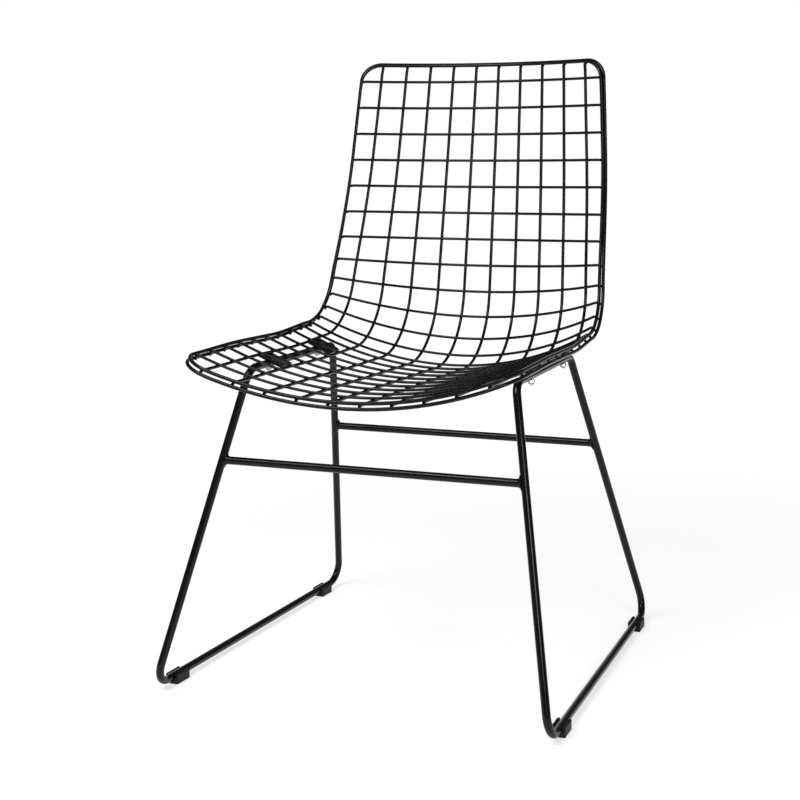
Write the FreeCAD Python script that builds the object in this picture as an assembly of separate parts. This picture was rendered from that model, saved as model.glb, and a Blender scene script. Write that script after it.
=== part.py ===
import FreeCAD, Part
import math
import os

# Dining chair with a seat and back in one dished shell of welded wire mesh,
# standing on two bent rod side frames joined by two stretchers.
# Millimetres. +Z is up, the sitter faces -Y, and the origin lies on the floor
# under the middle of the chair. Left and right are the sitter's: left is +X.

# Shell, measured down the middle of the back and along the seat
back_height = 821.0          # first cross wire above the floor
back_setback = 279.1         # first cross wire behind the origin
back_lean = 7.7              # degrees back from upright
lumbar_radius = 120.0        # bend from the back into the seat
seat_height = 404.29         # middle of the seat, above the origin
seat_rise = 1.0              # degrees up towards the front edge
row_pitch = 40.0             # from one cross wire to the next
cross_wires = 22
long_wires = 10
top_overhang = 27.6          # rim above the first cross wire
front_overhang = 46.0        # rim in front of the last cross wire

# Shell, measured from side to side
top_width = 380.0            # at the first cross wire
front_width = 450.0          # at the last cross wire
side_bulge = 8.0             # how far each side swells beyond a straight taper
top_corner = 29.0
front_corner = 42.0
dish_back = 41.0             # depth of the dish high on the back
dish_lumbar = 75.0           # depth where the back turns into the seat
dish_seat = 55.0             # depth of the seat
dish_front = 50.0            # depth at the front edge
dish_deepens = (3.6, 10.7)   # rows over which the dish deepens
dish_flattens = (10.7, 16.5) # rows over which it flattens again
dish_eases = (18.4, 23.0)    # rows over which it flattens towards the front
side_turns = (6.2, 15.3)     # rows over which the sides turn upward
side_angle_back = 2.5        # degrees above straight ahead that the sides rise
side_angle_seat = 74.0
fan_top = 0.189              # spacing of the long wires over the half width
fan_middle = 0.194
fan_seat = 0.191
fan_opens = (1.0, 11.0)
fan_closes = (11.0, 18.0)

# Wires and rods of the shell
long_wire = 4.5
cross_wire = 4.0
rim_rod = 5.0
weld_sink = 0.3              # how far two wires melt into each other
rim_lift = 1.0               # upper rim rod above the face where the wires cross
rim_spacing = 7.0            # between the two rim rods
rim_inset = 2.5              # upper rod inside the lower one along the top and front
end_bend = 2.4               # centreline radius of the turned-down wire ends
straight_within = 0.1        # a wire is drawn straight where it strays less

# Flats round each section
wire_sides = 8
rod_sides = 16
small_sides = 12
bend_steps = 4

# Base
frame_rod = 11.0
front_leg_top = -159.6       # where the leg line meets the top bar, along Y
rear_leg_top = 106.6
front_foot_x = 274.3
rear_foot_x = 259.7
front_foot_y = -287.9
rear_foot_y = 292.1
bend_top_front = 24.0        # centreline radii
bend_top_rear = 18.0
bend_bottom = 24.0
front_stretcher_height = 307.8
rear_stretcher_height = 294.1

# Mounts between the shell and the base
plate_across = 40.0
plate_along = 37.0
plate_thickness = 3.0
plate_inboard = 4.0          # middle of the plate towards the middle of the seat
front_mount_row = 18.37      # between two cross wires
rear_mount_row = 14.40
front_bolt_inset = 10.3       # from the outermost long wire
rear_bolt_inset = 11.9
bolt = 5.0
bolt_clearance = 0.4         # across the hole
head_width = 8.4
head_height = 2.6
nut_flats = 8.0
nut_height = 4.0
nut_dome = 2.6

# Glides under the runners
glide_length = 32.0
glide_wall = 4.0
glide_floor = 4.75           # plastic under the rod
glide_grip = 4.0             # walls above the middle of the rod
front_glide_y = -227.9
rear_glide_y = 227.1

V = FreeCAD.Vector
parts_folder = "parts"
os.makedirs(parts_folder, exist_ok=True)


def unit(v):
    return v * (1.0 / v.Length)


def ease(value, span):
    t = (value - span[0]) / (span[1] - span[0])
    t = min(max(t, 0.0), 1.0)
    return 0.5 - 0.5 * math.cos(math.pi * t)


def save(name, shape):
    shape.exportStep(os.path.join(parts_folder, name + ".step"))


# The dished surface in which the two layers of wire meet. A point on it is
# given by x and by s, the distance down the middle from the first cross wire.
shell_run = (cross_wires - 1) * row_pitch
lean = math.radians(back_lean)
rise = math.radians(seat_rise)
lumbar_turn = math.pi / 2 - lean + rise
corner_run = (back_height - seat_height + back_setback * math.tan(rise)) \
    / (math.cos(lean) + math.sin(lean) * math.tan(rise))
bend_start = corner_run - lumbar_radius * math.tan(lumbar_turn / 2)
bend_end = bend_start + lumbar_radius * lumbar_turn


def middle(s):
    on_back = min(s, bend_start)
    y = back_setback - on_back * math.sin(lean)
    z = back_height - on_back * math.cos(lean)
    if s > bend_start:
        a = (min(s, bend_end) - bend_start) / lumbar_radius
        y += lumbar_radius * (math.cos(lean + a) - math.cos(lean))
        z -= lumbar_radius * (math.sin(lean + a) - math.sin(lean))
    if s > bend_end:
        y -= (s - bend_end) * math.cos(rise)
        z += (s - bend_end) * math.sin(rise)
    return y, z


def row_of(s):
    return 1.0 + s / row_pitch


def half_width(s):
    u = s / shell_run
    straight = top_width + (front_width - top_width) * u
    return straight / 2 + 4.0 * side_bulge * u * (1.0 - u)


def surface(x, s):
    row = row_of(s)
    w = half_width(s)
    d = dish_back + (dish_lumbar - dish_back) * ease(row, dish_deepens)
    d += (dish_seat - dish_lumbar) * ease(row, dish_flattens)
    d += (dish_front - dish_seat) * ease(row, dish_eases)
    turn = side_angle_back
    turn += (side_angle_seat - side_angle_back) * ease(row, side_turns)
    turn = math.radians(turn)
    radius = (w * w + d * d) / (2.0 * d)
    lift = radius - math.sqrt(radius * radius - x * x)
    y, z = middle(s)
    return V(x, y - math.cos(turn) * lift, z + math.sin(turn) * lift)


def along_s(x, s):
    return unit(surface(x, s + 0.5) - surface(x, s - 0.5))


def along_x(x, s):
    return unit(surface(x + 0.5, s) - surface(x - 0.5, s))


def normal(x, s):
    # towards the sitter
    return unit(along_s(x, s).cross(along_x(x, s)))


def wire_x(number, s):
    row = row_of(s)
    fan = fan_top + (fan_middle - fan_top) * ease(row, fan_opens)
    fan += (fan_seat - fan_middle) * ease(row, fan_closes)
    return (number - (long_wires + 1) / 2.0) * fan * half_width(s)


# The rim's outline over the surface: straight top and front, sides that
# follow the width, and four round corners.
def corner(side, edge, radius, order):
    # three points inside a round corner: order 1 runs from the top or front
    # edge to the side, order -1 the other way
    toward = math.copysign(radius, edge)
    points = []
    for share in (0.25, 0.5, 0.75):
        a = share * math.pi / 2
        x = side - radius + radius * math.sin(a)
        points.append((x, edge - toward + toward * math.cos(a)))
    return points[::order]


def rim_half(inset):
    # from the middle of the top round the left side to the middle of the front
    top = inset - top_overhang
    front = shell_run + front_overhang - inset
    points = []
    for number in range(long_wires // 2 + 1, long_wires + 1):
        points.append((wire_x(number, top), top))
    points += corner(half_width(0.0), top, top_corner, 1)
    for row in range(cross_wires):
        s = row * row_pitch
        points.append((half_width(s), s))
    points += corner(half_width(shell_run), front, front_corner, -1)
    for number in range(long_wires, long_wires // 2, -1):
        points.append((wire_x(number, front), front))
    return points


# A wire is a ruled loft through an eight-sided section at every crossing, so
# that flat lies on flat where the two layers are welded.
def section(point, before, after, side, diameter, flats):
    way = unit(before + after)
    half_turn = way.dot(before)
    across = unit(side - way * side.dot(way))
    up = across.cross(way)
    reach = diameter / 2.0 / math.cos(math.pi / flats)
    mitre = after - before
    corners = []
    for i in range(flats):
        a = (i + 0.5) * 2.0 * math.pi / flats
        v = up * (reach * math.cos(a)) + across * (reach * math.sin(a))
        if mitre.Length > 1e-6:
            m = unit(mitre)
            v += m * (v.dot(m) * (1.0 / half_turn - 1.0))
        corners.append(point + v)
    corners.append(corners[0])
    return Part.makePolygon(corners)


def stray(point, a, b):
    return (point - a).cross(unit(b - a)).Length


def turning(points):
    # the points where a wire really turns, with both ends
    kept = [0]
    last = len(points) - 1
    while kept[-1] < last:
        a = kept[-1]
        b = a + 1
        while b < last:
            span = points[a + 1:b + 1]
            if max(stray(p, points[a], points[b + 1]) for p in span) > straight_within:
                break
            b += 1
        kept.append(b)
    return kept


def wire_solid(points, sides, diameter, flats, closed=False):
    kept = turning(points)
    points = [points[i] for i in kept]
    sides = [sides[i] for i in kept]
    sections = []
    last = len(points) - 1
    for i, point in enumerate(points):
        if closed:
            before = unit(point - points[i - 1])
            after = unit(points[(i + 1) % len(points)] - point)
        else:
            before = unit(points[max(i, 1)] - points[max(i, 1) - 1])
            after = unit(points[min(i, last - 1) + 1] - points[min(i, last - 1)])
        sections.append(section(point, before, after, sides[i], diameter, flats))
    return Part.makeLoft(sections, True, True, closed)


def turned_end(tip, way, up, diameter, level):
    # from the last straight point, round the bend, to the tip of the wire, level
    # with the underside of the lower rim rod; tip is the crossing face at the
    # rim, way points outward
    leg = tip - way * ((rim_rod + diameter) / 2.0 - weld_sink)
    half = end_bend * math.tan(math.pi / 8)
    start = leg - way * end_bend + up * level
    knee_in = leg - way * (end_bend - half) + up * level
    knee_out = leg + up * (level - end_bend + half)
    end = leg + up * (rim_lift - rim_spacing - rim_rod / 2.0)
    return [start, knee_in, knee_out, end]


def bent_wire(path, ways, ups, side_of, diameter, level):
    # path holds the crossing-face points with the rim at both ends
    first = turned_end(path[0], ways[0] * -1.0, ups[0], diameter, level)
    final = turned_end(path[-1], ways[-1], ups[-1], diameter, level)
    points = first[:0:-1]
    sides = [side_of[0]] * 3
    for i in range(1, len(path) - 1):
        points.append(path[i] + ups[i] * level)
        sides.append(side_of[i])
    points += final[1:]
    sides += [side_of[-1]] * 3
    return wire_solid(points, sides, diameter, wire_sides)


def make_cross_wire(row):
    s = row * row_pitch
    edge = half_width(s)
    xs = [-edge]
    for number in range(1, long_wires + 1):
        xs.append(wire_x(number, s))
    xs.append(edge)
    path = [surface(x, s) for x in xs]
    ways = [along_x(x, s) for x in xs]
    ups = [normal(x, s) for x in xs]
    sides = [up.cross(way) for up, way in zip(ups, ways)]
    level = (cross_wire - weld_sink) / 2.0
    return bent_wire(path, ways, ups, sides, cross_wire, level)


def make_long_wire(number):
    run = [-top_overhang]
    for row in range(cross_wires):
        run.append(row * row_pitch)
    run.append(shell_run + front_overhang)
    spots = [(wire_x(number, s), s) for s in run]
    path = [surface(x, s) for x, s in spots]
    ways = []
    for i in range(len(path)):
        ways.append(unit(path[min(i + 1, len(path) - 1)] - path[max(i - 1, 0)]))
    ups = []
    for i, (x, s) in enumerate(spots):
        n = normal(x, s)
        ups.append(unit(n - ways[i] * n.dot(ways[i])))
    sides = [up.cross(way) for up, way in zip(ups, ways)]
    level = -(long_wire - weld_sink) / 2.0
    return bent_wire(path, ways, ups, sides, long_wire, level)


def make_rim(level, inset):
    half = rim_half(inset)
    spots = half + [(-x, s) for x, s in half[::-1]]
    ups = [normal(x, s) for x, s in spots]
    points = []
    for (x, s), up in zip(spots, ups):
        points.append(surface(x, s) + up * level)
    sides = []
    for i, up in enumerate(ups):
        way = points[(i + 1) % len(points)] - points[i - 1]
        sides.append(unit(up.cross(way)))
    return wire_solid(points, sides, rim_rod, wire_sides, True)


# A mount is a flat plate welded under the outermost long wire, tilted like
# the shell there. It gives the axis and the seats of its bolt.
class Mount:
    def __init__(self, hand, row, inset):
        s = (row - 1.0) * row_pitch
        x = hand * wire_x(long_wires, s)
        self.up = normal(x, s)
        self.run = along_s(x, s)
        self.inward = unit(self.run.cross(self.up)) * hand
        if self.inward.x * hand > 0:
            self.inward = self.inward * -1.0
        face = surface(x, s) - self.up * (long_wire - 1.5 * weld_sink)
        self.top = face + self.inward * inset
        self.bottom = self.top - self.up * plate_thickness
        self.bar = self.bottom - self.up * (frame_rod / 2.0)
        self.under = self.bar - self.up * (frame_rod / 2.0)

    def prism(self, low, high, low_width, high_width):
        # small_sides flats about the bolt's axis
        ends = []
        for point, width in ((low, low_width), (high, high_width)):
            ends.append(section(point, self.up, self.up, self.inward, width, small_sides))
        return Part.makeLoft(ends, True, True)

    def hole(self):
        low = self.under - self.up * frame_rod
        high = self.top + self.up * frame_rod
        return self.prism(low, high, bolt + bolt_clearance, bolt + bolt_clearance)

    def plate(self):
        middle_point = self.bottom + self.inward * plate_inboard
        a = self.inward * (plate_across / 2.0)
        b = self.run * (plate_along / 2.0)
        ring = [middle_point + a + b, middle_point + a - b]
        ring += [middle_point - a - b, middle_point - a + b]
        face = Part.Face(Part.makePolygon(ring + [ring[0]]))
        return face.extrude(self.up * plate_thickness).cut(self.hole())

    def bolt_solid(self):
        # a low domed head on the plate, and a shank through to the nut
        rim_top = self.top + self.up * (head_height / 3.0)
        crown_top = self.top + self.up * head_height
        rim = self.prism(self.top, rim_top, head_width, head_width)
        crown = self.prism(rim_top, crown_top, head_width, head_width / 2.0)
        low = self.under - self.up * nut_height
        shank = self.prism(low, self.top, bolt, bolt)
        return rim.fuse(crown).fuse(shank).removeSplitter()

    def nut(self):
        # a closed nut: six flats and a domed cap over the end of the shank
        low = self.under - self.up * nut_height
        ends = []
        for point in (low, self.under):
            ends.append(section(point, self.up, self.up, self.inward, nut_flats, 6))
        body = Part.makeLoft(ends, True, True)
        body = body.cut(self.prism(low, self.under, bolt, bolt))
        tip = low - self.up * nut_dome
        cap = self.prism(tip, low, nut_flats / 2.0, nut_flats)
        return body.fuse(cap).removeSplitter()


# A side frame is one closed loop of round rod: a top bar under two mounts,
# two legs that splay to the floor, and a runner.
def rod_loop(corners, radii, side):
    # straight runs and round bends, drawn as short steps that touch the arc
    points = []
    for i, c in enumerate(corners):
        a = unit(corners[i - 1] - c)
        b = unit(corners[(i + 1) % len(corners)] - c)
        turn = math.pi - math.acos(a.dot(b))
        centre = c + unit(a + b) * (radii[i] / math.cos(turn / 2.0))
        start = c + a * (radii[i] * math.tan(turn / 2.0)) - centre
        ahead = a * -radii[i]
        step = turn / bend_steps
        points.append(centre + start)
        for k in range(bend_steps):
            angle = (k + 0.5) * step
            reach = 1.0 / math.cos(step / 2.0)
            spoke = start * math.cos(angle) + ahead * math.sin(angle)
            points.append(centre + spoke * reach)
        points.append(centre + start * math.cos(turn) + ahead * math.sin(turn))
    return wire_solid(points, [side] * len(points), frame_rod, rod_sides, True)


class SideFrame:
    def __init__(self, hand):
        self.hand = hand
        self.front = Mount(hand, front_mount_row, front_bolt_inset)
        self.rear = Mount(hand, rear_mount_row, rear_bolt_inset)
        bar = self.rear.bar - self.front.bar
        front_top = self.front.bar + bar * ((front_leg_top - self.front.bar.y) / bar.y)
        rear_top = self.front.bar + bar * ((rear_leg_top - self.front.bar.y) / bar.y)
        floor = glide_floor + frame_rod / 2.0
        front_foot = V(hand * front_foot_x, front_foot_y, floor)
        rear_foot = V(hand * rear_foot_x, rear_foot_y, floor)
        self.corners = [front_top, front_foot, rear_foot, rear_top]

    def solid(self):
        radii = [bend_top_front, bend_bottom, bend_bottom, bend_top_rear]
        loop = rod_loop(self.corners, radii, V(self.hand, 0, 0))
        return loop.cut(self.front.hole()).cut(self.rear.hole())

    def at_height(self, top, foot, height):
        leg = foot - top
        return top + leg * ((height - top.z) / leg.z)

    def front_leg_at(self, height):
        return self.at_height(self.corners[0], self.corners[1], height)

    def rear_leg_at(self, height):
        return self.at_height(self.corners[3], self.corners[2], height)

    def glide(self, y):
        # a plastic saddle pressed on the runner from below
        a = self.corners[1]
        b = self.corners[2]
        way = unit(b - a)
        place = a + (b - a) * ((y - a.y) / (b.y - a.y))
        out = V(0, 0, 1).cross(way)
        wide = frame_rod + 2.0 * glide_wall
        low = place - way * (glide_length / 2.0) - V(0, 0, place.z)
        ring = [low - out * (wide / 2.0), low + out * (wide / 2.0)]
        tall = V(0, 0, place.z + glide_grip)
        ring += [ring[1] + tall, ring[0] + tall]
        block = Part.Face(Part.makePolygon(ring + [ring[0]])).extrude(way * glide_length)
        seat = low + V(0, 0, place.z)
        ends = []
        for point in (seat, seat + way * glide_length):
            ends.append(section(point, way, way, out, frame_rod, rod_sides))
        rod = Part.makeLoft(ends, True, True)
        slot_side = out * (frame_rod / 2.0)
        slot = [seat - slot_side, seat + slot_side]
        slot += [slot[1] + V(0, 0, frame_rod), slot[0] + V(0, 0, frame_rod)]
        gap = Part.Face(Part.makePolygon(slot + [slot[0]])).extrude(way * glide_length)
        return block.cut(rod).cut(gap).removeSplitter()


# The shell
for row in range(cross_wires):
    save("cross_wire_%02d" % (row + 1), make_cross_wire(row))
for number in range(1, long_wires + 1):
    save("long_wire_%02d" % number, make_long_wire(number))
save("rim_rod_upper", make_rim(rim_lift, rim_inset))
save("rim_rod_lower", make_rim(rim_lift - rim_spacing, 0.0))

# The base
left = SideFrame(1.0)
right = SideFrame(-1.0)
left_solid = left.solid()
right_solid = right.solid()
save("side_frame_left", left_solid)
save("side_frame_right", right_solid)


def stretcher(a, b):
    rod = wire_solid([a, b], [V(0, 1, 0)] * 2, frame_rod, rod_sides)
    return rod.cut(left_solid).cut(right_solid)


save("front_stretcher", stretcher(right.front_leg_at(front_stretcher_height),
                                  left.front_leg_at(front_stretcher_height)))
save("rear_stretcher", stretcher(right.rear_leg_at(rear_stretcher_height),
                                 left.rear_leg_at(rear_stretcher_height)))

# Mounts, their bolts and nuts, and the glides
mounts = {
    "front_left": left.front,
    "rear_left": left.rear,
    "front_right": right.front,
    "rear_right": right.rear,
}
for place, mount in mounts.items():
    save("mounting_plate_" + place, mount.plate())
save("shell_bolts", Part.makeCompound([m.bolt_solid() for m in mounts.values()]))
save("cap_nuts", Part.makeCompound([m.nut() for m in mounts.values()]))
for side_name, side in (("left", left), ("right", right)):
    save("glide_front_" + side_name, side.glide(front_glide_y))
    save("glide_rear_" + side_name, side.glide(rear_glide_y))
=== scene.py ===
import math
import bpy
import bmesh
from mathutils import Vector, Matrix


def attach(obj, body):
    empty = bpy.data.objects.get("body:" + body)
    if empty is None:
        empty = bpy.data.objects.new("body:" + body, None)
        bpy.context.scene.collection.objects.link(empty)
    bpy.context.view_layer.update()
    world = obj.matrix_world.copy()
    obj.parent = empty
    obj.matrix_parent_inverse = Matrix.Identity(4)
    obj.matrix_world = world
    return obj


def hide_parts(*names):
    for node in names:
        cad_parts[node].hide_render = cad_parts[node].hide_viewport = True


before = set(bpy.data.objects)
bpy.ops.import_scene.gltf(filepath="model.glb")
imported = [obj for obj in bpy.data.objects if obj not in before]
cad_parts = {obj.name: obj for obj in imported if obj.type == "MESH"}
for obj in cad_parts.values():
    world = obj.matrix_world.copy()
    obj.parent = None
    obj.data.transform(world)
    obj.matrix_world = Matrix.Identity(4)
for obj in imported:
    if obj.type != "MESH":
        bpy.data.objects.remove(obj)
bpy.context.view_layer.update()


# Long wires
# Ten steel wires run from the top of the back down through the lumbar bend to
# the front of the seat. They are pressed to the shell's dished shape, and each
# end is turned down behind the rim rods that it is welded to.

rows = 22
row_pitch = 0.040
long_wires = 10
long_wire = 0.0045
rim_rod = 0.005
weld_sink = 0.0003
rim_lift = 0.001
rim_spacing = 0.007
rim_inset = 0.0025
end_bend = 0.0024
top_overhang = 0.0276
front_overhang = 0.046
shell_run = (rows - 1) * row_pitch

back_lean = math.radians(7.7)
seat_rise = math.radians(1.0)
lumbar_radius = 0.120
back_top = (0.2791, 0.821)
seat_height = 0.40429
lumbar_turn = math.pi / 2 - back_lean + seat_rise
corner_run = (back_top[1] - seat_height + back_top[0] * math.tan(seat_rise)) \
    / (math.cos(back_lean) + math.sin(back_lean) * math.tan(seat_rise))
bend_start = corner_run - lumbar_radius * math.tan(lumbar_turn / 2)
bend_end = bend_start + lumbar_radius * lumbar_turn

# across the shell: its width, then the dish's depth and tilt and the wires' fan,
# each with its value at the top and the gains between pairs of rows
top_half_width = 0.190
front_growth = 0.035
side_belly = 0.032
dish_top = 0.041
dish_steps = ((0.034, 3.6, 10.7), (-0.020, 10.7, 16.5), (-0.005, 18.4, 23.0))
tilt_top = 2.5
tilt_steps = ((71.5, 6.2, 15.3),)
fan_top = 0.189
fan_steps = ((0.005, 1.0, 11.0), (-0.003, 11.0, 18.0))
probe = 0.0005

wire_sides = 14
bend_steps = 6
tip_wear = 0.35


def ease(value, first, last):
    # from 0 to 1 between first and last, without a corner at either
    t = min(max((value - first) / (last - first), 0.0), 1.0)
    return 0.5 - 0.5 * math.cos(math.pi * t)


def stepped(value, steps, row):
    # a value that changes by each step's gain, between that step's two rows
    for gain, first, last in steps:
        value += gain * ease(row, first, last)
    return value


def middle_line(s):
    # the shell's profile, s metres below the first cross wire
    on_back = min(s, bend_start)
    y = back_top[0] - on_back * math.sin(back_lean)
    z = back_top[1] - on_back * math.cos(back_lean)
    if s > bend_start:
        a = (min(s, bend_end) - bend_start) / lumbar_radius
        y += lumbar_radius * (math.cos(back_lean + a) - math.cos(back_lean))
        z -= lumbar_radius * (math.sin(back_lean + a) - math.sin(back_lean))
    if s > bend_end:
        y -= (s - bend_end) * math.cos(seat_rise)
        z += (s - bend_end) * math.sin(seat_rise)
    return y, z


def half_width(s):
    u = s / shell_run
    return top_half_width + front_growth * u + side_belly * u * (1.0 - u)


def shell_point(x, s):
    # where the two layers of wire meet: an arc across, tipped up toward the front
    row = 1.0 + s / row_pitch
    w = half_width(s)
    dish = stepped(dish_top, dish_steps, row)
    tilt = math.radians(stepped(tilt_top, tilt_steps, row))
    radius = (w * w + dish * dish) / (2.0 * dish)
    lift = radius - math.sqrt(radius * radius - x * x)
    y, z = middle_line(s)
    return Vector((x, y - math.cos(tilt) * lift, z + math.sin(tilt) * lift))


def down_shell(x, s):
    return (shell_point(x, s + probe) - shell_point(x, s - probe)).normalized()


def across_shell(x, s):
    return (shell_point(x + probe, s) - shell_point(x - probe, s)).normalized()


def to_sitter(x, s):
    return down_shell(x, s).cross(across_shell(x, s)).normalized()


def long_wire_x(number, s):
    # the wires fan out with the shell's width, counted from the sitter's right
    fan = stepped(fan_top, fan_steps, 1.0 + s / row_pitch)
    return (number - (long_wires + 1) / 2.0) * fan * half_width(s)


def new_piece(name, bm, material):
    mesh = bpy.data.meshes.new(name)
    bm.to_mesh(mesh)
    bm.free()
    piece = bpy.data.objects.new(name, mesh)
    bpy.context.scene.collection.objects.link(piece)
    mesh.materials.append(material)
    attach(piece, "root")
    return piece


def join_rings(bm, rings, smooth=False, closed=False):
    # the skin from ring to ring, with a flat face over each end of an open row
    pairs = list(zip(rings, rings[1:]))
    if closed:
        pairs.append((rings[-1], rings[0]))
    count = len(rings[0])
    for low, high in pairs:
        for k in range(count):
            j = (k + 1) % count
            bm.faces.new((low[k], low[j], high[j], high[k])).smooth = smooth
    if not closed:
        bm.faces.new(rings[0][::-1])
        bm.faces.new(rings[-1])


def add_round_bar(bm, points, radius, sides, closed=False):
    # a round bar along the points, with the worn edge of a cropped end
    count = len(points)
    spots = []
    for i, point in enumerate(points):
        if closed:
            way = (points[(i + 1) % count] - points[i - 1]).normalized()
        else:
            way = (points[min(i + 1, count - 1)] - points[max(i - 1, 0)]).normalized()
        spots.append((point, way, radius))
    if not closed:
        nip = radius * tip_wear
        p, way, r = spots[0]
        spots[0] = (p + way * nip, way, r)
        spots.insert(0, (p + way * nip * 0.3, way, radius - nip * 0.3))
        spots.insert(0, (p, way, radius - nip))
        p, way, r = spots[-1]
        spots[-1] = (p - way * nip, way, r)
        spots.append((p - way * nip * 0.3, way, radius - nip * 0.3))
        spots.append((p, way, radius - nip))
    first_way = spots[0][1]
    side = first_way.orthogonal().normalized()
    start_side = side.copy()
    frames = []
    way_before = first_way
    for point, way, r in spots:
        side = way_before.rotation_difference(way) @ side
        side = (side - way * side.dot(way)).normalized()
        frames.append((point, way, side.copy(), r))
        way_before = way
    twist_total = 0.0
    if closed:
        last = way_before.rotation_difference(first_way) @ side
        twist_total = math.atan2(last.cross(start_side).dot(first_way), last.dot(start_side))
    rings = []
    for i, (point, way, side, r) in enumerate(frames):
        side = Matrix.Rotation(twist_total * i / len(frames), 3, way) @ side
        up = way.cross(side)
        ring = []
        for k in range(sides):
            a = 2.0 * math.pi * k / sides
            ring.append(bm.verts.new(point + side * (r * math.cos(a)) + up * (r * math.sin(a))))
        rings.append(ring)
    join_rings(bm, rings, smooth=True, closed=closed)


def turned_end(tip, way, up, diameter, level):
    # from the last straight point, round the bend, to the cropped tip
    leg = tip - way * ((rim_rod + diameter) / 2.0 - weld_sink)
    centre = leg - way * end_bend + up * (level - end_bend)
    points = []
    for k in range(bend_steps + 1):
        a = math.pi / 2 * k / bend_steps
        points.append(centre + way * (end_bend * math.sin(a)) + up * (end_bend * math.cos(a)))
    tip_level = rim_lift - rim_spacing
    points.append(leg + up * (tip_level + level - end_bend) / 2.0)
    points.append(leg + up * tip_level)
    return points


def new_material(name):
    material = bpy.data.materials.new(name)
    material.use_nodes = True
    return material, material.node_tree.nodes, material.node_tree.links


def powder_coat():
    # a satin black skin with the faint orange peel of melted powder
    material, nodes, links = new_material("black_powder_coat")
    coat = nodes["Principled BSDF"]
    coat.inputs["Specular IOR Level"].default_value = 0.22
    place = nodes.new("ShaderNodeTexCoord")
    drift = nodes.new("ShaderNodeTexNoise")
    drift.inputs["Scale"].default_value = 14.0
    drift.inputs["Detail"].default_value = 3.0
    tone = nodes.new("ShaderNodeValToRGB")
    tone.color_ramp.elements[0].position = 0.35
    tone.color_ramp.elements[1].position = 0.70
    tone.color_ramp.elements[0].color = (0.00328, 0.003526, 0.0041, 1.0)
    tone.color_ramp.elements[1].color = (0.0048, 0.00516, 0.0060, 1.0)
    links.new(place.outputs["Object"], drift.inputs["Vector"])
    links.new(drift.outputs["Fac"], tone.inputs["Fac"])
    links.new(tone.outputs["Color"], coat.inputs["Base Color"])
    peel = nodes.new("ShaderNodeTexNoise")
    peel.inputs["Scale"].default_value = 900.0
    peel.inputs["Detail"].default_value = 2.0
    links.new(place.outputs["Object"], peel.inputs["Vector"])
    sheen = nodes.new("ShaderNodeMapRange")
    sheen.inputs["From Min"].default_value = 0.3
    sheen.inputs["From Max"].default_value = 0.7
    sheen.inputs["To Min"].default_value = 0.15
    sheen.inputs["To Max"].default_value = 0.26
    links.new(drift.outputs["Fac"], sheen.inputs["Value"])
    links.new(sheen.outputs["Result"], coat.inputs["Roughness"])
    bump = nodes.new("ShaderNodeBump")
    bump.inputs["Strength"].default_value = 0.10
    bump.inputs["Distance"].default_value = 0.0002
    links.new(peel.outputs["Fac"], bump.inputs["Height"])
    links.new(bump.outputs["Normal"], coat.inputs["Normal"])
    return material


black_coat = powder_coat()


def long_wire_path(number):
    level = -(long_wire - weld_sink) / 2.0
    inset = (rim_rod + long_wire) / 2.0 - weld_sink + end_bend
    top = -top_overhang
    front = shell_run + front_overhang
    x = long_wire_x(number, top)
    points = turned_end(shell_point(x, top), -down_shell(x, top),
                        to_sitter(x, top), long_wire, level)[::-1]
    steps = 100
    for i in range(1, steps):
        s = top + inset + (front - top - 2.0 * inset) * i / steps
        x = long_wire_x(number, s)
        points.append(shell_point(x, s) + to_sitter(x, s) * level)
    x = long_wire_x(number, front)
    points += turned_end(shell_point(x, front), down_shell(x, front),
                         to_sitter(x, front), long_wire, level)
    return points


for number in range(1, long_wires + 1):
    bm = bmesh.new()
    add_round_bar(bm, long_wire_path(number), long_wire / 2.0, wire_sides)
    node = "long_wire_%02d" % number
    wire = new_piece("round_" + node, bm, black_coat)
    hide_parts(node)


# Cross wires
# Twenty-two lighter wires lie on the sitter's side of the long wires, welded
# to each of them, and spring from rim to rim in one even curve.

cross_wire = 0.004


def cross_wire_path(row):
    s = row * row_pitch
    level = (cross_wire - weld_sink) / 2.0
    edge = half_width(s)
    inset = (rim_rod + cross_wire) / 2.0 - weld_sink + end_bend
    reach = edge - inset * across_shell(edge, s).x
    points = turned_end(shell_point(-edge, s), -across_shell(-edge, s),
                        to_sitter(-edge, s), cross_wire, level)[::-1]
    steps = 44
    for i in range(1, steps):
        x = reach * (2.0 * i / steps - 1.0)
        points.append(shell_point(x, s) + to_sitter(x, s) * level)
    points += turned_end(shell_point(edge, s), across_shell(edge, s),
                         to_sitter(edge, s), cross_wire, level)
    return points


for row in range(rows):
    bm = bmesh.new()
    add_round_bar(bm, cross_wire_path(row), cross_wire / 2.0, wire_sides)
    node = "cross_wire_%02d" % (row + 1)
    wire = new_piece("round_" + node, bm, black_coat)
    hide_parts(node)


# Rim rods
# Two closed rings of rod run round the whole shell, one above the other. The
# wire ends turn down inside them and are welded to both.

top_corner = 0.029
front_corner = 0.042
edge_steps = 24
corner_steps = 12
side_steps = 100
rim_sides = 16


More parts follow.
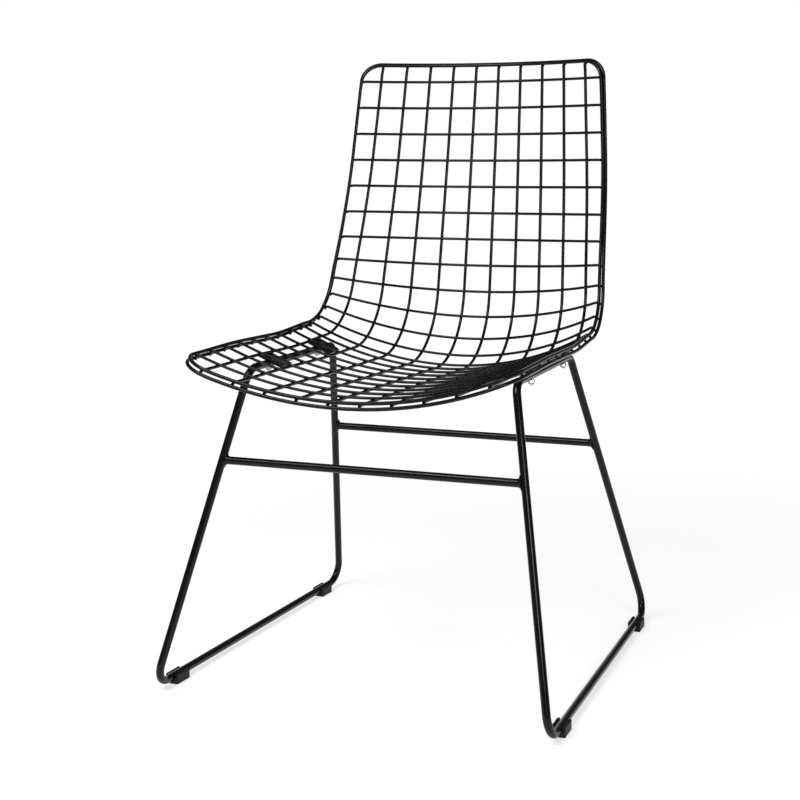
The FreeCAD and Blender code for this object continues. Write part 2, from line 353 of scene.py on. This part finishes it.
def rim_outline(inset):
    # half of the ring over the shell, from the middle of the top to the front
    spots = []
    top = inset - top_overhang
    side = half_width(0.0)
    for i in range(edge_steps):
        spots.append(((side - top_corner) * i / edge_steps, top))
    for i in range(corner_steps + 1):
        a = math.pi / 2 * i / corner_steps
        spots.append((side - top_corner * (1.0 - math.sin(a)),
                      top + top_corner * (1.0 - math.cos(a))))
    first = top + top_corner
    front = shell_run + front_overhang - inset
    last = front - front_corner
    for i in range(1, side_steps):
        s = first + (last - first) * i / side_steps
        spots.append((half_width(s), s))
    side = half_width(shell_run)
    for i in range(corner_steps + 1):
        a = math.pi / 2 * i / corner_steps
        spots.append((side - front_corner * (1.0 - math.cos(a)),
                      last + front_corner * math.sin(a)))
    for i in range(1, edge_steps + 1):
        spots.append(((side - front_corner) * (1.0 - i / edge_steps), front))
    return spots


for node, level, inset in (("rim_rod_upper", rim_lift, rim_inset),
                           ("rim_rod_lower", rim_lift - rim_spacing, 0.0)):
    half = rim_outline(inset)
    points = []
    for x, s in half + [(-x, s) for x, s in half[-2:0:-1]]:
        points.append(shell_point(x, s) + to_sitter(x, s) * level)
    bm = bmesh.new()
    add_round_bar(bm, points, rim_rod / 2.0, rim_sides, closed=True)
    ring = new_piece("round_" + node, bm, black_coat)
    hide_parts(node)


# Welds of the mesh
# Each crossing is a resistance weld: the wires sink into each other and a
# little metal swells out round the touch. The wire ends carry the same nibs
# where they meet the two rim rods.

nib_sides = 10
nib_thickness = 0.0005
nib_rounding = ((-1.0, 0.35), (-0.6, 0.85), (0.0, 1.0), (0.6, 0.85), (1.0, 0.35))
crossing_nib = 0.0024
rim_nib = 0.0014


def add_nib(bm, centre, axis, width):
    # a low bead, round about its axis
    side = axis.orthogonal().normalized()
    up = axis.cross(side)
    rings = []
    for share, out in nib_rounding:
        level = centre + axis * (share * nib_thickness)
        ring = []
        for k in range(nib_sides):
            a = 2.0 * math.pi * k / nib_sides
            v = side * math.cos(a) + up * math.sin(a)
            ring.append(bm.verts.new(level + v * (out * width)))
        rings.append(ring)
    join_rings(bm, rings, smooth=True)


bm = bmesh.new()
for row in range(rows):
    s = row * row_pitch
    for number in range(1, long_wires + 1):
        x = long_wire_x(number, s)
        add_nib(bm, shell_point(x, s), to_sitter(x, s), crossing_nib)
new_piece("crossing_welds", bm, black_coat)

ends = []
for row in range(rows):
    s = row * row_pitch
    level = (cross_wire - weld_sink) / 2.0
    for hand in (-1.0, 1.0):
        x = hand * half_width(s)
        ends.append((x, s, across_shell(x, s) * hand, cross_wire, level, 0.0))
for number in range(1, long_wires + 1):
    level = -(long_wire - weld_sink) / 2.0
    for s, hand in ((-top_overhang, -1.0), (shell_run + front_overhang, 1.0)):
        x = long_wire_x(number, s)
        ends.append((x, s, down_shell(x, s) * hand, long_wire, level, rim_inset))
bm = bmesh.new()
for x, s, way, diameter, level, inset in ends:
    up = to_sitter(x, s)
    leg = shell_point(x, s) - way * ((rim_rod + diameter) / 2.0 - weld_sink)
    lower = leg + way * (diameter / 2.0) + up * (rim_lift - rim_spacing)
    add_nib(bm, lower, way, rim_nib)
    bend = leg - way * end_bend + up * (level - end_bend)
    toward = shell_point(x, s) - way * inset + up * rim_lift - bend
    touch = bend + toward.normalized() * (end_bend + diameter / 2.0)
    add_nib(bm, touch, toward.normalized(), rim_nib)
new_piece("rim_welds", bm, black_coat)


# Side frames
# Each side stands on one closed loop of round steel rod: a top bar under the
# seat, two splayed legs and a runner on the floor, with four smooth bends.

frame_rod = 0.011
frame_sides = 28
glide_floor = 0.00475
plate_thickness = 0.003
bolt_drop = plate_thickness + frame_rod / 2.0
axis_level = glide_floor + frame_rod / 2.0
front_bolt = (18.37, 0.0103)
rear_bolt = (14.40, 0.0119)
front_bend_y = -0.1596
rear_bend_y = 0.1066
front_foot_spot = (0.2743, -0.2879)
rear_foot_spot = (0.2597, 0.2921)
bend_radii = (0.024, 0.024, 0.024, 0.018)
bend_step = math.radians(7.5)


def mount_point(hand, row, inset):
    # where the bolt passes the plate's top, then the plate's own three directions
    s = (row - 1.0) * row_pitch
    x = hand * long_wire_x(long_wires, s)
    up = to_sitter(x, s)
    run = down_shell(x, s)
    inward = run.cross(up).normalized()
    if inward.x * hand > 0.0:
        inward = -inward
    top = shell_point(x, s) - up * (long_wire - 1.5 * weld_sink) + inward * inset
    return top, up, run, inward


def bent_rod(corners, radii):
    # straight runs joined by round bends, as a closed line
    points = []
    for i, c in enumerate(corners):
        after = corners[(i + 1) % len(corners)]
        a = (corners[i - 1] - c).normalized()
        b = (after - c).normalized()
        turn = math.pi - a.angle(b)
        centre = c + (a + b).normalized() * (radii[i] / math.cos(turn / 2.0))
        start = c + a * (radii[i] * math.tan(turn / 2.0)) - centre
        ahead = -a * radii[i]
        count = max(4, round(turn / bend_step))
        for k in range(count + 1):
            t = turn * k / count
            points.append(centre + start * math.cos(t) + ahead * math.sin(t))
        end = c + b * (radii[i] * math.tan(turn / 2.0))
        points.append(end.lerp(after, 0.3))
        points.append(end.lerp(after, 0.6))
    return points


mounts = {}
side_corners = {}
for side_name, hand in (("left", 1.0), ("right", -1.0)):
    front = mount_point(hand, *front_bolt)
    rear = mount_point(hand, *rear_bolt)
    mounts["front_" + side_name] = front
    mounts["rear_" + side_name] = rear
    a = front[0] - front[1] * bolt_drop
    b = rear[0] - rear[1] * bolt_drop
    bar = b - a
    front_top = a + bar * ((front_bend_y - a.y) / bar.y)
    rear_top = a + bar * ((rear_bend_y - a.y) / bar.y)
    front_foot = Vector((hand * front_foot_spot[0], front_foot_spot[1], axis_level))
    rear_foot = Vector((hand * rear_foot_spot[0], rear_foot_spot[1], axis_level))
    corners = [front_top, front_foot, rear_foot, rear_top]
    side_corners[side_name] = corners
    bm = bmesh.new()
    add_round_bar(bm, bent_rod(corners, bend_radii), frame_rod / 2.0, frame_sides, closed=True)
    node = "side_frame_" + side_name
    loop = new_piece("round_" + node, bm, black_coat)
    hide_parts(node)


# Stretchers
# A straight rod ties the front legs together and another the rear legs. Their
# ends are cut to the legs' curve and welded all round with a soft fillet.

front_height = 0.3078
rear_height = 0.2941
weld_leg = 0.005
weld_root = 0.0015
weld_shares = (0.0, 0.08, 0.2, 0.36, 0.55, 0.76, 1.0)
beside_share = 0.12


def leg_at(top, foot, height):
    return top + (foot - top) * ((height - top.z) / (foot.z - top.z))


def weld_stations(r):
    # out from the leg's middle, and how much the fillet adds to the rod there
    stations = [(r - weld_root, weld_leg)]
    for share in weld_shares:
        left = 1.0 - share
        stations.append((r + weld_leg * share, weld_leg * (1.0 - math.sqrt(1.0 - left * left))))
    return stations


for node, top, foot, height in (("front_stretcher", 0, 1, front_height),
                                ("rear_stretcher", 3, 2, rear_height)):
    a = leg_at(side_corners["right"][top], side_corners["right"][foot], height)
    b = leg_at(side_corners["left"][top], side_corners["left"][foot], height)
    bm = bmesh.new()
    way = (b - a).normalized()
    side = Vector((0.0, 1.0, 0.0))
    up = way.cross(side)
    r = frame_rod / 2.0
    stations = weld_stations(r)
    rings = []
    for end, hand, name, outward in ((a, 1.0, "right", stations),
                                     (b, -1.0, "left", stations[::-1])):
        lean = side_corners[name][top] - side_corners[name][foot]
        lean = lean / lean.dot(up)
        slope = lean.dot(way)
        for out, grow in outward:
            ring = []
            for k in range(frame_sides):
                t = 2.0 * math.pi * k / frame_sides
                spot = end + way * (out * hand + slope * r * math.sin(t)) + up * (r * math.sin(t))
                spot += side * ((r + grow * beside_share) * math.cos(t)) + lean * (grow * math.sin(t))
                ring.append(bm.verts.new(spot))
            rings.append(ring)
    join_rings(bm, rings, smooth=True)
    rod = new_piece("round_" + node, bm, black_coat)
    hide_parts(node)


# Mounting plates
# Four flat steel plates are welded under the outermost long wires, tilted like
# the shell there, and carry the bolts that hold the shell on the top bars.

plate_width = 0.040
plate_depth = 0.037
plate_corner = 0.003
plate_offset = 0.004
plate_edge = 0.0004
plate_layers = ((0.0, plate_edge), (plate_edge, 0.0),
                (plate_thickness - plate_edge, 0.0), (plate_thickness, plate_edge))


def plate_outline(shrink, steps=5):
    # a rectangle with round corners, drawn in by the shrink
    width = plate_width - 2.0 * shrink
    depth = plate_depth - 2.0 * shrink
    radius = plate_corner - shrink
    ring = []
    for qx, qy, first in ((1, 1, 0.0), (-1, 1, 90.0), (-1, -1, 180.0), (1, -1, 270.0)):
        for k in range(steps + 1):
            a = math.radians(first + 90.0 * k / steps)
            ring.append((qx * (width / 2.0 - radius) + radius * math.cos(a),
                         qy * (depth / 2.0 - radius) + radius * math.sin(a)))
    return ring


for place, (top, up, run, inward) in mounts.items():
    bm = bmesh.new()
    middle = top + inward * plate_offset - up * plate_thickness
    rings = []
    for lift, shrink in plate_layers:
        ring = []
        for u, v in plate_outline(shrink):
            ring.append(bm.verts.new(middle + inward * u + run * v + up * lift))
        rings.append(ring)
    join_rings(bm, rings)
    bmesh.ops.recalc_face_normals(bm, faces=bm.faces)
    node = "mounting_plate_" + place
    plate = new_piece("flat_" + node, bm, black_coat)
    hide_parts(node)


# Bolts and cap nuts
# A low domed bolt holds each plate on its bar, with a bright closed nut below.
# Both are zinc plated steel, so they keep their metal colour.

def bright_zinc():
    material, nodes, links = new_material("bright_zinc")
    metal = nodes["Principled BSDF"]
    metal.inputs["Metallic"].default_value = 1.0
    place = nodes.new("ShaderNodeTexCoord")
    cloud = nodes.new("ShaderNodeTexNoise")
    cloud.inputs["Scale"].default_value = 260.0
    cloud.inputs["Detail"].default_value = 4.0
    tone = nodes.new("ShaderNodeValToRGB")
    tone.color_ramp.elements[0].position = 0.3
    tone.color_ramp.elements[1].position = 0.75
    tone.color_ramp.elements[0].color = (0.26, 0.27, 0.29, 1.0)
    tone.color_ramp.elements[1].color = (0.48, 0.48, 0.47, 1.0)
    links.new(place.outputs["Object"], cloud.inputs["Vector"])
    links.new(cloud.outputs["Fac"], tone.inputs["Fac"])
    links.new(tone.outputs["Color"], metal.inputs["Base Color"])
    dull = nodes.new("ShaderNodeMapRange")
    dull.inputs["To Min"].default_value = 0.18
    dull.inputs["To Max"].default_value = 0.34
    links.new(cloud.outputs["Fac"], dull.inputs["Value"])
    links.new(dull.outputs["Result"], metal.inputs["Roughness"])
    return material


zinc = bright_zinc()


def add_turned(bm, base, axis, side, profile, sides, hexagonal=()):
    # a turned shape given by (height, radius); hexagonal rings have six flats
    up = axis.cross(side)
    rings = []
    for i, (height, radius) in enumerate(profile):
        ring = []
        for k in range(sides):
            a = 2.0 * math.pi * k / sides
            r = radius
            if i in hexagonal:
                across = (a + math.pi / 6) % (math.pi / 3) - math.pi / 6
                r = radius / math.cos(across)
            spot = base + axis * height + side * (r * math.cos(a)) + up * (r * math.sin(a))
            ring.append(bm.verts.new(spot))
        rings.append(ring)
    join_rings(bm, rings)


def dome(foot, height, radius, steps=7):
    # stops just short of the axis, where the last ring is closed by a flat face
    profile = []
    for i in range(steps + 1):
        a = math.pi / 2 * i / steps
        profile.append((foot + height * math.sin(a), max(radius * math.cos(a), 0.0002)))
    return profile


# each profile is a row of heights and radii
bolt_sides = 24
nut_sides = 36
head = [(0.0, 0.0041), (0.0003, 0.0042)] + dome(0.0003, 0.0023, 0.0042)[1:5]
key_socket = [(0.0021, 0.0016), (0.0009, 0.0015)]
socket_rings = (len(head), len(head) + 1)
shank = [(-0.018, 0.0025), (0.0, 0.0025)]
nut = [(0.0, 0.0038), (0.0003, 0.0040), (0.0036, 0.0040), (0.0040, 0.0037)]
nut += dome(0.0040, 0.0026, 0.0034)

bolts = bmesh.new()
nuts = bmesh.new()
for top, up, _, inward in mounts.values():
    under = top - up * (plate_thickness + frame_rod)
    add_turned(bolts, top, up, inward, head + key_socket, bolt_sides, hexagonal=socket_rings)
    add_turned(bolts, top, up, inward, shank, bolt_sides)
    add_turned(nuts, under, -up, inward, nut, nut_sides, hexagonal=(1, 2))
for bm in (bolts, nuts):
    bmesh.ops.recalc_face_normals(bm, faces=bm.faces)
head_piece = new_piece("domed_bolts", bolts, zinc)
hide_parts("shell_bolts")
nut_piece = new_piece("domed_cap_nuts", nuts, zinc)
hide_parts("cap_nuts")


# Floor glides
# Four moulded nylon saddles snap up over the runners and keep the steel off
# the floor. They are matt black, with softened edges.

front_glide_y = -0.2279
rear_glide_y = 0.2271
glide_half = 0.016
glide_wall = 0.004
glide_edge = 0.0006
foot_edge = 0.0008
top_edge = 0.001
seat_steps = 12


def matt_nylon():
    material, nodes, links = new_material("matt_black_nylon")
    plastic = nodes["Principled BSDF"]
    plastic.inputs["Specular IOR Level"].default_value = 0.25
    place = nodes.new("ShaderNodeTexCoord")
    grain = nodes.new("ShaderNodeTexNoise")
    grain.inputs["Scale"].default_value = 700.0
    grain.inputs["Detail"].default_value = 3.0
    tone = nodes.new("ShaderNodeValToRGB")
    tone.color_ramp.elements[0].color = (0.0045, 0.0045, 0.005, 1.0)
    tone.color_ramp.elements[1].color = (0.010, 0.010, 0.011, 1.0)
    links.new(place.outputs["Object"], grain.inputs["Vector"])
    links.new(grain.outputs["Fac"], tone.inputs["Fac"])
    links.new(tone.outputs["Color"], plastic.inputs["Base Color"])
    dull = nodes.new("ShaderNodeMapRange")
    dull.inputs["To Min"].default_value = 0.50
    dull.inputs["To Max"].default_value = 0.68
    links.new(grain.outputs["Fac"], dull.inputs["Value"])
    links.new(dull.outputs["Result"], plastic.inputs["Roughness"])
    bump = nodes.new("ShaderNodeBump")
    bump.inputs["Strength"].default_value = 0.3
    bump.inputs["Distance"].default_value = 0.0002
    links.new(grain.outputs["Fac"], bump.inputs["Height"])
    links.new(bump.outputs["Normal"], plastic.inputs["Normal"])
    return material


nylon = matt_nylon()


def saddle_profile(axis_height):
    # the glide cut across: out and height, round the outside and the rod's seat
    r = frame_rod / 2.0
    wide = r + glide_wall
    tall = axis_height + glide_wall
    ring = [(-wide + foot_edge, 0.0), (wide - foot_edge, 0.0), (wide, foot_edge),
            (wide, tall - top_edge), (wide - top_edge, tall),
            (r + glide_edge, tall), (r, tall - glide_edge)]
    for k in range(seat_steps + 1):
        a = -math.pi * k / seat_steps
        ring.append((r * math.cos(a), axis_height + r * math.sin(a)))
    ring += [(-r, tall - glide_edge), (-r - glide_edge, tall),
             (-wide + top_edge, tall), (-wide, tall - top_edge), (-wide, foot_edge)]
    return ring


glide_layers = ((-glide_half, glide_edge), (glide_edge - glide_half, 0.0),
                (glide_half - glide_edge, 0.0), (glide_half, glide_edge))

for end_name, y in (("front", front_glide_y), ("rear", rear_glide_y)):
    for side_name in ("left", "right"):
        a = side_corners[side_name][1]
        b = side_corners[side_name][2]
        way = (b - a).normalized()
        place = a + (b - a) * ((y - a.y) / (b.y - a.y))
        out = Vector((0, 0, 1)).cross(way)
        foot = Vector((place.x, place.y, 0.0))
        bm = bmesh.new()
        ring = saddle_profile(place.z)
        rings = []
        for along, shrink in glide_layers:
            loop = []
            for u, v in ring:
                inner = abs(u) <= frame_rod / 2.0 + 1e-6 and v > top_edge
                lift = 0.0 if inner else shrink
                u2 = u - math.copysign(min(lift, abs(u)), u)
                v2 = min(max(v, lift), place.z + glide_wall - lift)
                loop.append(bm.verts.new(foot + way * along + out * u2 + Vector((0, 0, v2))))
            rings.append(loop)
        join_rings(bm, rings)
        bmesh.ops.recalc_face_normals(bm, faces=bm.faces)
        node = "glide_%s_%s" % (end_name, side_name)
        glide = new_piece("moulded_" + node, bm, nylon)
        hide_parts(node)


# Floor and light
# A plain white studio floor and a white background, dark screens that only show
# in the rods' reflections, and soft light from overhead and from beside the
# camera. The camera stands where the photograph's stood.

def seen_directly(nodes, links):
    # 1 for what the camera, a reflection or a clear piece shows, 0 for soft light
    seen = nodes.new("ShaderNodeLightPath")
    shown = nodes.new("ShaderNodeMath")
    shown.operation = "MAXIMUM"
    links.new(seen.outputs["Is Camera Ray"], shown.inputs[0])
    links.new(seen.outputs["Is Glossy Ray"], shown.inputs[1])
    every = nodes.new("ShaderNodeMath")
    every.operation = "MAXIMUM"
    links.new(shown.outputs["Value"], every.inputs[0])
    links.new(seen.outputs["Is Transmission Ray"], every.inputs[1])
    return every.outputs["Value"]


def studio_floor():
    # lit like any white floor, and lifted to white where it is seen
    material, nodes, links = new_material("studio_floor")
    nodes.remove(nodes["Principled BSDF"])
    sweep = nodes.new("ShaderNodeBsdfDiffuse")
    sweep.inputs["Color"].default_value = (0.86, 0.86, 0.86, 1.0)
    soft = nodes.new("ShaderNodeBsdfDiffuse")
    soft.inputs["Color"].default_value = (0.50, 0.50, 0.50, 1.0)
    place = nodes.new("ShaderNodeTexCoord")
    reach = nodes.new("ShaderNodeVectorMath")
    reach.operation = "LENGTH"
    links.new(place.outputs["Object"], reach.inputs[0])
    level = nodes.new("ShaderNodeMapRange")
    level.inputs["From Min"].default_value = 0.8
    level.inputs["From Max"].default_value = 2.6
    level.inputs["To Min"].default_value = 0.61
    level.inputs["To Max"].default_value = 0.82
    links.new(reach.outputs["Value"], level.inputs["Value"])
    glow = nodes.new("ShaderNodeEmission")
    links.new(level.outputs["Result"], glow.inputs["Strength"])
    both = nodes.new("ShaderNodeAddShader")
    links.new(soft.outputs["BSDF"], both.inputs[0])
    links.new(glow.outputs["Emission"], both.inputs[1])
    mix = nodes.new("ShaderNodeMixShader")
    links.new(seen_directly(nodes, links), mix.inputs["Fac"])
    links.new(sweep.outputs["BSDF"], mix.inputs[1])
    links.new(both.outputs["Shader"], mix.inputs[2])
    links.new(mix.outputs["Shader"], nodes["Material Output"].inputs["Surface"])
    return material


def dark_screen():
    material, nodes, _ = new_material("dark_screen")
    cloth = nodes["Principled BSDF"]
    cloth.inputs["Base Color"].default_value = (0.20, 0.20, 0.20, 1.0)
    cloth.inputs["Roughness"].default_value = 1.0
    return material


def add_stage(name, panels, material):
    # flat panels of the studio, each given by its four corners
    bm = bmesh.new()
    for corners in panels:
        bm.faces.new([bm.verts.new(corner) for corner in corners])
    mesh = bpy.data.meshes.new(name)
    bm.to_mesh(mesh)
    bm.free()
    stage = bpy.data.objects.new(name, mesh)
    mesh.materials.append(material)
    bpy.context.scene.collection.objects.link(stage)
    return stage


add_stage("studio_floor", [((-6, -6, 0), (6, -6, 0), (6, 6, 0), (-6, 6, 0))], studio_floor())

front_left = (-5.2, -3.6)
front_right = (5.2, -3.6)
back_left = (-5.2, 5.9)
back_middle = (-0.2, 5.9)
back_right = (5.2, 5.9)
screen_top = 4.2
low_edge = 0.01
high_edge = 1.9

screen_panels = []
for a, b, foot in ((front_left, front_right, low_edge), (front_left, back_left, low_edge),
                   (front_right, back_right, low_edge), (back_middle, back_right, low_edge),
                   (back_left, back_middle, high_edge)):
    screen_panels.append((a + (foot,), b + (foot,), b + (screen_top,), a + (screen_top,)))
screen_panels.append([corner + (screen_top,) for corner in
                      (front_left, front_right, back_right, back_left)])
screens = add_stage("dark_screens", screen_panels, dark_screen())
screens.visible_camera = False
screens.visible_diffuse = False
screens.visible_shadow = False

world = bpy.data.worlds.new("studio")
bpy.context.scene.world = world
world.use_nodes = True
nodes = world.node_tree.nodes
links = world.node_tree.links
room = nodes["Background"]
room.inputs["Color"].default_value = (1.0, 1.0, 1.0, 1.0)
room.inputs["Strength"].default_value = 0.40
white = nodes.new("ShaderNodeBackground")
white.inputs["Color"].default_value = (1.0, 1.0, 1.0, 1.0)
white.inputs["Strength"].default_value = 1.0
mix = nodes.new("ShaderNodeMixShader")
links.new(seen_directly(nodes, links), mix.inputs["Fac"])
links.new(room.outputs["Background"], mix.inputs[1])
links.new(white.outputs["Background"], mix.inputs[2])
links.new(mix.outputs["Shader"], nodes["World Output"].inputs["Surface"])


def soft_box(name, place, aim, width, height, power):
    light = bpy.data.lights.new(name, "AREA")
    light.shape = "RECTANGLE"
    light.size = width
    light.size_y = height
    light.energy = power
    lamp = bpy.data.objects.new(name, light)
    lamp.location = place
    lamp.rotation_euler = (Vector(aim) - Vector(place)).to_track_quat("-Z", "Y").to_euler()
    bpy.context.scene.collection.objects.link(lamp)


soft_box("overhead_box", (-0.62, -1.58, 2.5), (0.0, -0.1, 0.4), 1.4, 1.1, 52.0)
soft_box("right_box", (1.85, -2.4, 1.5), (0.0, 0.0, 0.4), 0.6, 0.9, 26.0)

camera = bpy.data.objects.new("camera", bpy.data.cameras.new("camera"))
camera.data.sensor_width = 36.0
camera.data.lens = 70.589
camera.location = (0.7769, -2.0386, 0.7275)
camera.rotation_euler = (math.radians(80.740), math.radians(0.188), math.radians(21.636))
bpy.context.scene.collection.objects.link(camera)
bpy.context.scene.camera = camera
bpy.context.scene.view_settings.view_transform = "Standard"
